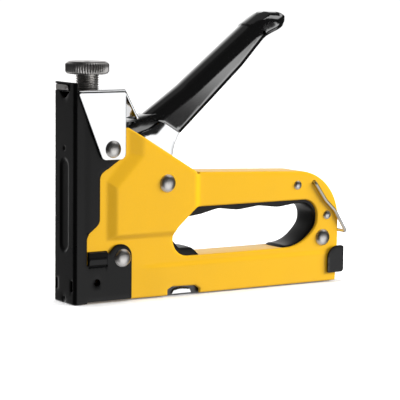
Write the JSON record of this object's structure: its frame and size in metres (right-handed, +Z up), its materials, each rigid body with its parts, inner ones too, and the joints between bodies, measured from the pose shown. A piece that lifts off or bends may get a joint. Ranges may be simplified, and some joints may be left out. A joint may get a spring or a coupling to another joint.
{
  "type": "staple gun",
  "caption": "Hand-operated heavy-duty staple gun with a squeeze handle, power screw, pull-out magazine and wire handle lock.",
  "frame": {"origin": "middle of the footprint, at the height of the underside of the nose and magazine", "axes": "+X from the nose to the rear end, +Z up, +Y to the tool's right side seen from behind the nose"},
  "size_m": [0.1756, 0.03, 0.1518],
  "materials": {
    "yellow_paint": "smooth powder coat",
    "black_paint": "satin black coat",
    "bright_chrome": "polished plating",
    "rivet_steel": "polished nickel",
    "plain_steel": "zinc plated",
    "dark_steel": "dark blackened",
    "grip_plastic": "gloss",
    "liner_plastic": "satin",
    "black_rubber": "matt"
  },
  "bodies": {
    "frame": {"casing_left": "yellow_paint", "casing_right": "yellow_paint", "nose_channel": "black_paint", "nose_clip": "bright_chrome", "spring_bracket": "bright_chrome", "bracket_rivets": "rivet_steel", "bumper_pad": "black_rubber", "bumper_stop": "plain_steel", "pivot_rivet": "rivet_steel", "pivot_washers": "plain_steel", "front_rivet": "rivet_steel", "rear_rivet": "rivet_steel", "small_rivets": "rivet_steel", "rivet_spacers": "plain_steel", "finger_liner": "liner_plastic", "magazine_channel": "dark_steel", "staple_rail": "plain_steel", "magazine_catch": "bright_chrome"},
    "handle": {"handle_lever": "bright_chrome", "lifting_lever": "black_paint", "handle_grip": "grip_plastic"},
    "striker": {"hammer": "dark_steel", "driver_blade": "plain_steel", "hammer_pins": "plain_steel"},
    "screw_stop": {"spring_seat": "plain_steel", "main_spring": "plain_steel"},
    "knob": {"power_knob": "bright_chrome"},
    "magazine_slide": {"pusher_rod": "plain_steel", "rear_clip": "dark_steel", "pusher_spring": "plain_steel"},
    "pusher": {"staple_pusher": "plain_steel"},
    "bail": {"wire_bail": "bright_chrome"}
  },
  "joints": [
    {"name": "handle_pivot", "type": "hinge", "parent": "frame", "child": "handle", "pos_m": [-0.03175, 0, 0.0611], "axis": [0, 1, 0], "range_deg": [0, 38], "stiffness_Nm_per_rad": 0.6, "springref_deg": -34.38},
    {"name": "striker_lift", "type": "slide", "parent": "frame", "child": "striker", "axis": [0, 0, 1], "range_m": [0, 0.0198], "deforming": ["main_spring"]},
    {"name": "power_screw_travel", "type": "slide", "parent": "frame", "child": "screw_stop", "axis": [0, 0, 1], "range_m": [-0.006, 0.0012]},
    {"name": "power_knob_turn", "type": "hinge", "parent": "screw_stop", "child": "knob", "pos_m": [-0.07435, 0, 0.12], "axis": [0, 0, 1], "range_deg": [-1810, 370]},
    {"name": "magazine_pull", "type": "slide", "parent": "frame", "child": "magazine_slide", "axis": [1, 0, 0], "range_m": [0, 0.1]},
    {"name": "pusher_feed", "type": "slide", "parent": "magazine_slide", "child": "pusher", "axis": [1, 0, 0], "range_m": [0, 0.1], "stiffness_N_per_m": 20, "springref_m": -0.05, "deforming": ["pusher_spring"]},
    {"name": "bail_swing", "type": "hinge", "parent": "frame", "child": "bail", "pos_m": [0.06525, 0, 0.0567], "axis": [0, -1, 0], "range_deg": [0, 110]}
  ],
  "couplings": [
    {"joint": "striker_lift", "follows": "handle_pivot", "m_per_rad": 0.0296},
    {"joint": "power_knob_turn", "follows": "power_screw_travel", "rad_per_m": 5236}
  ]
}
